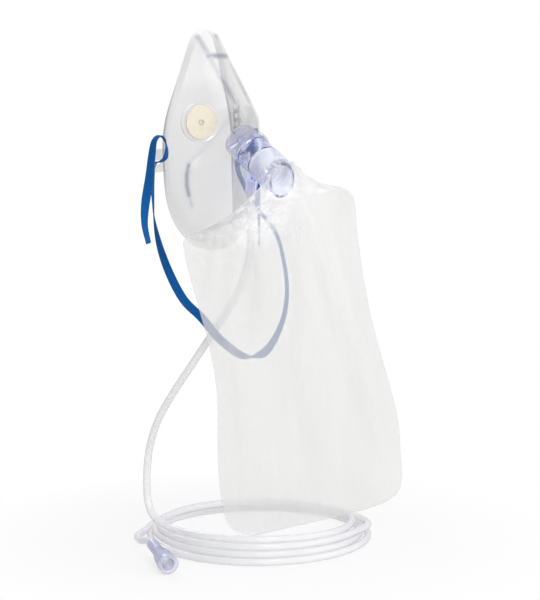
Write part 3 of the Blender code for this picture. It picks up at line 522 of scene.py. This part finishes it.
# Creases in the near and far sheets, in the bag's own millimetres: from, to, width, height. Each
# wanders a little, rises and fades over a share of its length, spreads past its width, and lifts
# the film by a share of its height.
CREASE_WANDERS = 1.6
CREASE_RISES = 0.18
CREASE_FADES = 0.4
CREASE_SPREADS = 1.5
CREASE_SHARE = 0.45
NEAR_CREASES = (
    ((27.0, -6.0), (41.0, 120.0), 2.2, 1.5),
    ((43.0, 10.0), (54.0, 110.0), 2.4, -1.2),
    ((10.0, 4.0), (24.0, 98.0), 3.0, 1.2),
    ((13.0, 55.0), (5.0, 135.0), 2.4, 0.9),
    ((33.0, 30.0), (60.0, 190.0), 3.6, 0.9),
    ((-6.0, 8.0), (-16.0, 90.0), 2.4, 1.1),
    ((-20.0, 8.0), (-38.0, 74.0), 2.0, 1.3),
    ((-34.0, 10.0), (-50.0, 60.0), 1.8, 1.4),
    ((-2.0, 100.0), (-14.0, 215.0), 4.0, 0.7),
    ((22.0, 120.0), (26.0, 212.0), 4.5, -0.6),
    ((-36.0, 70.0), (-44.0, 200.0), 3.2, 0.8),
)
FAR_CREASES = (
    ((20.0, 0.0), (8.0, 110.0), 3.0, 1.2),
    ((36.0, 0.0), (50.0, 140.0), 3.0, -1.2),
    ((-10.0, 6.0), (-30.0, 120.0), 3.0, 1.2),
    ((-30.0, 10.0), (-46.0, 90.0), 2.6, 1.0),
    ((0.0, 90.0), (6.0, 205.0), 4.0, 0.8),
    ((40.0, 120.0), (52.0, 205.0), 4.0, 0.8),
)


def crease_lift(across, down, creases):
    """How far the creases push the film out at a place on the bag, in millimetres."""
    lift = 0.0
    for start, end, width, height in creases:
        run_across, run_down = end[0] - start[0], end[1] - start[1]
        from_across, from_down = across - start[0], down - start[1]
        length = math.hypot(run_across, run_down)
        along = (from_across * run_across + from_down * run_down) / length
        off = (from_across * run_down - from_down * run_across) / length
        off += CREASE_WANDERS * noise.noise(Vector((along * 0.03, start[0], end[1])))
        ends = min(1.0, max(0.0, along / (CREASE_RISES * length)))
        ends *= min(1.0, max(0.0, (length - along) / (CREASE_FADES * length)))
        lift += height * ends * math.exp(-((off / (CREASE_SPREADS * width)) ** 2))
    return lift


def neck_ring(along, radius, gathers, depth):
    """A ring of film round the spout, with gathers of uneven width and a slower wave over them."""
    ring = []
    for i in range(FILM_AROUND):
        angle = 2.0 * math.pi * i / FILM_AROUND
        wave = math.sin(gathers * angle + 1.3 * math.sin(3.0 * angle)) * 0.6
        wave += noise.noise(Vector((math.cos(angle) * 3.0, math.sin(angle) * 3.0, along * 0.12))) * 1.2
        out = radius + max(0.0, depth * (0.6 + wave))
        outward = port_side * math.cos(angle) + port_up * math.sin(angle)
        ring.append(PORT_MIDDLE + (port_axis * along + outward * out) * MM)
    return ring


def fan_ring(share, upper, lower):
    """A ring of film on its way from the last neck ring to the top row of the flat bag."""
    ring = []
    for i, (start, end) in enumerate(zip(upper, lower)):
        angle = 2.0 * math.pi * i / FILM_AROUND
        sideways, forward = math.cos(angle), math.sin(angle)
        place = start.lerp(end, share)
        pleat = noise.noise(Vector((sideways * 5.0, forward * 5.0, share * 1.5)))
        pleat += 0.5 * math.sin(FAN_PLEATS * angle + share)
        loose = 1.0 + LEFT_LOOSER * max(0.0, -sideways)
        fold = pleat * PLEAT_HEIGHT * math.sin(math.pi * share) * loose
        sag = math.sin(math.pi * share) * (FAN_SAG - FAN_SAG * sideways)
        sheet = 1.0 if forward >= 0.0 else -1.0
        ring.append(place + (-bag_back * fold * sheet - Vector((0, 0, sag))) * MM)
    return ring


def flat_ring(stop):
    """A ring of film across the hanging bag, lens-shaped, with its creases and crumples."""
    along, left, right, half_bulge, drop = stop
    middle, half = (left + right) / 2.0, (right - left) / 2.0
    ring = []
    for i in range(FILM_AROUND):
        angle = 2.0 * math.pi * i / FILM_AROUND
        sideways, forward = math.cos(angle), math.sin(angle)
        across = middle + half * sideways
        down = along - drop * sideways
        near = forward >= 0.0
        lens = SIDE_FOLD * abs(forward) ** 0.6 + (half_bulge - SIDE_FOLD) * forward * forward
        from_neck = (across - NECK_MIDDLE) / (NECK_SPREAD + NECK_WIDENS * down)
        full = NECK_FULLNESS * math.exp(-max(down, 0.0) / NECK_FADES) * math.exp(-(from_neck**2))
        inside = min(1.0, 3.0 * forward * forward)
        lift = CREASE_SHARE * crease_lift(across, down, NEAR_CREASES if near else FAR_CREASES) * inside
        wave = noise.noise(Vector((across * 0.028, down * 0.012, 3.0 if near else 9.0)))
        wave *= WAVE_HEIGHT * inside
        crumple = noise.turbulence(Vector((across * 0.13, down * 0.13, 1.0 if near else 5.0)), 3, True)
        crumple *= CRUMPLE_HEIGHT * inside * max(0.0, 1.0 - down / CRUMPLE_REACH) ** 1.5
        crumple *= max(0.0, min(1.0, (CRUMPLE_EDGE - across) / CRUMPLE_FADES))
        depth = max(lens + full + lift + wave + crumple, LEAST_DEPTH * abs(forward))
        place = bag_top + (bag_side * across + bag_down * down) * MM
        ring.append(place - bag_back * depth * (1.0 if near else -1.0) * MM)
    return ring


def smooth_between(values, t):
    """A smooth reading of a list of points, t from 0 to the last index."""
    first = min(int(t), len(values) - 2)
    share = t - first
    here, ahead = values[first], values[first + 1]
    before = values[first - 1] if first else here + (here - ahead)
    beyond = values[first + 2] if first + 2 < len(values) else ahead + (ahead - here)
    return (
        here * (1.0 - 2.5 * share * share + 1.5 * share**3)
        + ahead * (0.5 * share + 2.0 * share * share - 1.5 * share**3)
        + before * (-0.5 * share + share * share - 0.5 * share**3)
        + beyond * (-0.5 * share * share + 0.5 * share**3)
    )


def outline_stop(t):
    """A row of the bag's outline, t from 0 to its last row."""
    return tuple(smooth_between([stop[k] for stop in BAG_OUTLINE], t) for k in range(5))


def skinned(shape, rings):
    """Joins closed rings of points into a skin, and gives back its rows of corners."""
    rows = [[shape.verts.new(point) for point in ring] for ring in rings]
    for row, following in zip(rows, rows[1:]):
        for i in range(len(row)):
            j = (i + 1) % len(row)
            shape.faces.new((row[i], row[j], following[j], following[i]))
    return rows


def finished_piece(name, shape):
    """Turns a shape into an object with a smooth skin."""
    bmesh.ops.recalc_face_normals(shape, faces=shape.faces)
    for face in shape.faces:
        face.smooth = True
    mesh = bpy.data.meshes.new(name)
    shape.to_mesh(mesh)
    shape.free()
    piece = bpy.data.objects.new(name, mesh)
    bpy.context.scene.collection.objects.link(piece)
    return piece


neck_rings = [neck_ring(*stop) for stop in NECK_RINGS]
top_row = flat_ring(BAG_OUTLINE[0])
fan_rings = [fan_ring(share, neck_rings[-1], top_row) for share in FAN_SHARES]
guides = neck_rings + fan_rings + [top_row]
film_rings = []
for step in range(NECK_STEPS * (len(guides) - 1)):
    t = step / NECK_STEPS
    film_rings.append([smooth_between([guide[i] for guide in guides], t) for i in range(FILM_AROUND)])
for step in range(FILM_STEPS * (len(BAG_OUTLINE) - 1) + 1):
    film_rings.append(flat_ring(outline_stop(step / FILM_STEPS)))
film = bmesh.new()
last = skinned(film, film_rings)[-1]
# The near and far sheets are joined along the bag's lower edge.
half_count = FILM_AROUND // 2
film.faces.new((last[0], last[1], last[FILM_AROUND - 1]))
for i in range(1, half_count - 1):
    film.faces.new((last[i], last[i + 1], last[FILM_AROUND - i - 1], last[FILM_AROUND - i]))
film.faces.new((last[half_count - 1], last[half_count], last[half_count + 1]))
film_bag = finished_piece("film_bag", film)
# How sharply each place of the film is folded, which its finish reads to add painted shade along the folds.
fold_shade_lift = film_bag.data.attributes.new("fold_shade_lift", "FLOAT", "POINT")
for vertex in film_bag.data.vertices:
    from_top = vertex.co - bag_top
    across, down = from_top.dot(bag_side) / MM, from_top.dot(bag_down) / MM
    near = from_top.dot(bag_back) < 0.0
    fold_shade_lift.data[vertex.index].value = crease_lift(across, down, NEAR_CREASES if near else FAR_CREASES)

# The film's tone and cover by how far it turns away, its upright streaks, and how much painted shade a fold
# adds.
FILM_TONES = ((0.1, (0.78, 0.78, 0.77)), (0.5, (0.79, 0.79, 0.79)), (0.9, (0.82, 0.82, 0.84)))
FILM_COVERS = ((0.0, 0.38), (0.35, 0.40), (0.7, 0.48), (0.97, 0.62))
FILM_STREAKS = ((0.3, 0.8), (0.5, 1.0), (0.7, 1.25))
FOLD_SHADE_COVERS = ((0.1, 0.0), (0.5, 0.22), (1.0, 0.5))
FOLD_SHADE_SHARE = 0.75
# Painted glints: short sharp white marks on the crumpled shoulder by the neck, over a broad painted
# sheen that pales the film there: the middle of that place on the bag, in millimetres, and how far
# the marks reach from it, in metres.
GLINTS_ACROSS, GLINTS_DOWN = -8.0, -1.0
GLINT_REACH = ((0.014, 1.0), (0.024, 0.6), (0.032, 0.0))
PAINTED_GLINT_MARKS = ((0.50, 0.0), (0.54, 0.9), (0.63, 1.0), (0.67, 0.25))
PAINTED_GLINT_WHITE = (0.98, 0.98, 0.98)
SHOULDER_PAINTED_SHEEN = (0.97, 0.97, 0.98)
SHOULDER_GLOSS = ((0.0, 0.22), (1.0, 0.08))

frosted_film, shader, node, link = new_material("frosted_film")
facing = node("ShaderNodeLayerWeight", Blend=0.5).outputs["Facing"]
streaks = graded(node, link, patches(node, link, scale=30.0, stretch=(1.0, 1.0, 0.12)), FILM_STREAKS)
fold_mark = node("ShaderNodeAttribute", attribute_name="fold_shade_lift").outputs["Fac"]
# Painted shade: the film is made denser where the creases lift it.
fold_shade = scalar_step("MULTIPLY", graded(node, link, fold_mark, FOLD_SHADE_COVERS), FOLD_SHADE_SHARE)
uneven = scalar_step("ADD", fold_shade, streaks)
cover = scalar_step("MULTIPLY", graded(node, link, facing, FILM_COVERS), uneven, clamped=True)
glints_at = bag_top + (bag_side * GLINTS_ACROSS + bag_down * GLINTS_DOWN) * MM
from_glints = vector_step("DISTANCE", node("ShaderNodeTexCoord").outputs["Object"], glints_at)
closeness = graded(node, link, from_glints, GLINT_REACH)
glint_patches = patches(node, link, scale=75.0, detail=1.0, turn=(0.4, 0.3, 0.6))
# Painted highlights: white glint marks near the shoulder, and the shoulder itself turned pale as a painted
# sheen.
painted_glints = scalar_step("MULTIPLY", closeness, graded(node, link, glint_patches, PAINTED_GLINT_MARKS), clamped=True)
tone = turned_to(PAINTED_GLINT_WHITE, painted_glints, graded(node, link, facing, FILM_TONES))
link(turned_to(SHOULDER_PAINTED_SHEEN, closeness, tone), shader.inputs["Base Color"])
link(scalar_step("MAXIMUM", cover, painted_glints), shader.inputs["Alpha"])
link(graded(node, link, closeness, SHOULDER_GLOSS), shader.inputs["Roughness"])
wrinkles = patches(node, link, scale=90.0, detail=2.0, stretch=(1.0, 1.0, 0.3))
raised(node, link, shader, wrinkles, distance=0.0006)
lets_light_through(frosted_film, node, link, share=0.8)
film_bag.data.materials.append(frosted_film)
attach(film_bag, "root")
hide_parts("reservoir_bag")


# Head strap: flat woven elastic, six millimetres wide, threaded through both tabs. Each free end is
# looped up and over its tab, and the rest hangs in one long bight below the mask.

STRAP_WIDTH = 6.4 * MM
STRAP_THICKNESS = 0.9 * MM
SLOT_MIDDLE = Vector((57.4, 7.4, -13.2))
# From the free end on the wearer's right to the one on the left: a place in millimetres from the
# right slot, the left slot or the frame, and the way its width points.
STRAP_ROUTE = (
    ("right", (-12.5, 0.0, -56.0), 243),
    ("right", (-14.2, 2.0, -43.0), 232),
    ("right", (-14.1, 1.5, -29.0), 205),
    ("right", (-13.2, -1.2, -11.5), 160),
    ("right", (-12.2, -3.1, 5.7), 145),
    ("right", (-10.8, -4.2, 15.2), 130),
    ("right", (-7.0, -6.0, 18.8), 120),
    ("right", (-3.2, -7.6, 16.0), 105),
    ("right", (-1.0, -7.8, 9.5), 80),
    ("right", (0.0, -6.2, 3.4), 62),
    ("right", (0.0, -3.0, 0.7), 60),
    ("right", (0.0, 0.0, 0.0), 60),
    ("right", (0.0, 2.8, -0.7), 60),
    ("right", (-0.3, 4.2, -4.5), 62),
    ("right", (-1.0, 4.0, -14.0), 72),
    ("right", (-1.2, 3.4, -28.0), 84),
    ("frame", (-58.0, 10.2, -54.0), 100),
    ("frame", (-53.5, 8.7, -73.0), 140),
    ("frame", (-46.7, 4.9, -93.0), 170),
    ("frame", (-38.4, -1.5, -112.0), 184),
    ("frame", (-28.6, -10.4, -125.5), 186),
    ("frame", (-18.0, -19.5, -142.0), 190),
    ("frame", (2.5, -28.0, -156.4), 200),
    ("frame", (23.6, -32.9, -154.5), 215),
    ("frame", (39.5, -36.5, -137.0), 236),
    ("frame", (48.7, -36.3, -115.6), 247),
    ("frame", (53.7, -30.9, -92.0), 251),
    ("frame", (56.0, -22.0, -70.0), 250),
    ("left", (-1.0, -12.0, -38.0), 246),
    ("left", (0.4, 1.4, -18.0), 240),
    ("left", (0.2, 4.4, -7.5), 240),
    ("left", (0.0, 2.8, -0.9), 240),
    ("left", (0.0, 0.0, 0.0), 240),
    ("left", (0.0, -3.0, 0.7), 240),
    ("left", (0.0, -6.2, 3.4), 236),
    ("left", (1.0, -7.8, 9.5), 215),
    ("left", (3.2, -7.6, 16.0), 195),
    ("left", (7.0, -6.0, 18.8), 180),
    ("left", (10.8, -4.4, 15.2), 175),
    ("left", (12.2, -3.6, 5.7), 180),
    ("left", (13.0, -4.0, -11.5), 200),
    ("left", (13.4, -5.4, -30.0), 230),
    ("left", (13.0, -7.0, -50.0), 260),
    ("left", (12.6, -7.4, -69.0), 275),
)
STRAP_STEPS = 8
# Across the band: a soft selvedge at each edge and raised rubber cores between them. Heights are
# shares of the band's thickness, and the selvedge is a share of its half width.
STRAP_CORES = 7
STRAP_ACROSS = 28
CORE_MIDDLE, CORE_RISE = 0.82, 0.18
SELVEDGE_WIDTH = 0.06
SELVEDGE_HEIGHT, SELVEDGE_RISE = 0.55, 0.45

anchors = {
    "right": Vector((-SLOT_MIDDLE.x, SLOT_MIDDLE.y, SLOT_MIDDLE.z)),
    "left": SLOT_MIDDLE,
    "frame": Vector((0.0, 0.0, 0.0)),
}
strap_places = [(anchors[anchor] + Vector(offset)) * MM for anchor, offset, _ in STRAP_ROUTE]
strap_turns = [math.radians(turn) for _, _, turn in STRAP_ROUTE]


def strap_section():
    """Points round the band's section, as shares of its half width and half thickness."""
    points = []
    for i in range(STRAP_ACROSS):
        across = -1.0 + 2.0 * (i + 0.5) / STRAP_ACROSS
        rib = CORE_MIDDLE + CORE_RISE * math.cos(math.pi * STRAP_CORES * across)
        edge = min(1.0, (1.0 - abs(across)) / SELVEDGE_WIDTH)
        points.append((across, rib * (SELVEDGE_HEIGHT + SELVEDGE_RISE * edge)))
    return points + [(across, -height) for across, height in reversed(points)]


strap_rings = []
section = strap_section()
for step in range(STRAP_STEPS * (len(strap_places) - 1) + 1):
    t = step / STRAP_STEPS
    point = smooth_between(strap_places, t)
    ahead = smooth_between(strap_places, min(t + 0.1, len(strap_places) - 1))
    along = (ahead - smooth_between(strap_places, max(t - 0.1, 0.0))).normalized()
    level = Matrix.Rotation(smooth_between(strap_turns, t), 3, "Z") @ bag_across
    wide = (level - along * level.dot(along)).normalized()
    thick = along.cross(wide)
    strap_rings.append(
        [
            point + wide * across * STRAP_WIDTH / 2 + thick * height * STRAP_THICKNESS / 2
            for across, height in section
        ]
    )
strap = bmesh.new()
strap_rows = skinned(strap, strap_rings)
for row in (strap_rows[0], strap_rows[-1]):
    for i in range(STRAP_ACROSS - 1):
        mirror = 2 * STRAP_ACROSS - 1 - i
        strap.faces.new((row[i], row[i + 1], row[mirror - 1], row[mirror]))
head_strap = finished_piece("woven_head_strap", strap)

THREAD_TONES = ((0.1, (0.004, 0.13, 0.42)), (0.6, (0.003, 0.085, 0.30)))
THREAD_SCALE = 1500.0
blue_elastic, shader, node, link = new_material("blue_elastic")
threads = node("ShaderNodeTexVoronoi", Scale=THREAD_SCALE)
link(node("ShaderNodeTexCoord").outputs["Object"], threads.inputs["Vector"])
link(graded(node, link, threads.outputs["Distance"], THREAD_TONES), shader.inputs["Base Color"])
shader.inputs["Roughness"].default_value = 0.85
shader.inputs["Specular IOR Level"].default_value = 0.15
shader.inputs["Sheen Weight"].default_value = 0.04
shader.inputs["Sheen Roughness"].default_value = 0.5
raised(node, link, shader, threads.outputs["Distance"], distance=0.0002, strength=0.6)
head_strap.data.materials.append(blue_elastic)
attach(head_strap, "root")
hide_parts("head_strap")


# Stage: a white floor that runs back into a white studio, lit by three large soft lamps. The coil
# lies on the floor, a hair above it, and its shade is seen only close by.

FLOOR_REACH = 6.0
UNDER_COIL = 0.2 * MM

floor_mesh = bmesh.new()
bmesh.ops.create_grid(floor_mesh, x_segments=1, y_segments=1, size=FLOOR_REACH)
floor_data = bpy.data.meshes.new("floor")
floor_mesh.to_mesh(floor_data)
floor_mesh.free()
floor = bpy.data.objects.new("floor", floor_data)
floor.location = COIL_MIDDLE + Vector((0.0, 0.0, FLOOR_HEIGHT - UNDER_COIL))
bpy.context.scene.collection.objects.link(floor)


def seen_rays():
    """One for the rays that look: from the camera, off gloss, or through something clear."""
    path = node("ShaderNodeLightPath")
    either = scalar_step("MAXIMUM", path.outputs["Is Camera Ray"], path.outputs["Is Glossy Ray"])
    return scalar_step("MAXIMUM", either, path.outputs["Is Transmission Ray"])


# The floor shows its own light and shade close to the coil, and fades to plain white further off:
# where the fade starts and ends from the coil's middle, in metres, and the share that starts it.
FLOOR_TONE = 0.8
LAMPS_ON_WHITE = 0.98
FADE_STARTS, FADE_ENDS = 0.11, 0.24
LIT_SHARE = 0.34
floor_white, shader, node, link = new_material("floor_white")
shader.inputs["Roughness"].default_value = 0.9
shader.inputs["Specular IOR Level"].default_value = 0.0
shader.inputs["Emission Color"].default_value = (1.0, 1.0, 1.0, 1.0)
from_coil = vector_step("LENGTH", node("ShaderNodeTexCoord").outputs["Object"])
fade = node("ShaderNodeMapRange")
for socket, value in (
    ("From Min", FADE_STARTS),
    ("From Max", FADE_ENDS),
    ("To Min", LIT_SHARE),
    ("To Max", 0.0),
):
    fade.inputs[socket].default_value = value
link(from_coil, fade.inputs["Value"])
lit = fade.outputs["Result"]
seen = seen_rays()
seen_unlit = scalar_step("MULTIPLY", seen, scalar_step("SUBTRACT", 1.0, lit))
grey = scalar_step("SUBTRACT", FLOOR_TONE, scalar_step("MULTIPLY", FLOOR_TONE, seen_unlit))
link(grey, shader.inputs["Base Color"])
glow = scalar_step("SUBTRACT", 1.0, scalar_step("MULTIPLY", LAMPS_ON_WHITE, lit))
link(scalar_step("MULTIPLY", seen, glow), shader.inputs["Emission Strength"])
floor_data.materials.append(floor_white)

# The studio is plain white to look at, and gives the mask less light than that.
STUDIO_LIGHT = 0.42
STUDIO_WHITE = 1.0
world = bpy.data.worlds.new("studio")
bpy.context.scene.world = world
world.use_nodes = True
back = world.node_tree.nodes["Background"]
back.inputs["Color"].default_value = (1.0, 1.0, 1.0, 1.0)


def world_node(kind, **settings):
    """A node of the studio's own light, with its settings."""
    new = world.node_tree.nodes.new(kind)
    for key, value in settings.items():
        setattr(new, key, value)
    return new


node, link = world_node, world.node_tree.links.new
strength = node("ShaderNodeMapRange")
strength.inputs["To Min"].default_value = STUDIO_LIGHT
strength.inputs["To Max"].default_value = STUDIO_WHITE
link(seen_rays(), strength.inputs["Value"])
link(strength.outputs["Result"], back.inputs["Strength"])

# The lamps all face a place below the mask: name, place and size in metres, and power.
LAMPS_FACE = Vector((0.0, 0.0, -0.12))
LAMPS = (
    ("key_lamp", (-0.9, -1.1, 1.3), 1.0, 22.0),
    ("fill_lamp", (0.6, -1.4, 0.7), 1.2, 8.0),
    ("back_lamp", (0.9, 1.2, 1.1), 0.9, 12.0),
)
for name, place, size, power in LAMPS:
    lamp_data = bpy.data.lights.new(name, "AREA")
    lamp_data.size = size
    lamp_data.energy = power
    lamp = bpy.data.objects.new(name, lamp_data)
    lamp.location = place
    lamp.rotation_euler = (LAMPS_FACE - Vector(place)).to_track_quat("-Z", "Y").to_euler()
    bpy.context.scene.collection.objects.link(lamp)

bpy.context.scene.view_settings.view_transform = "Standard"
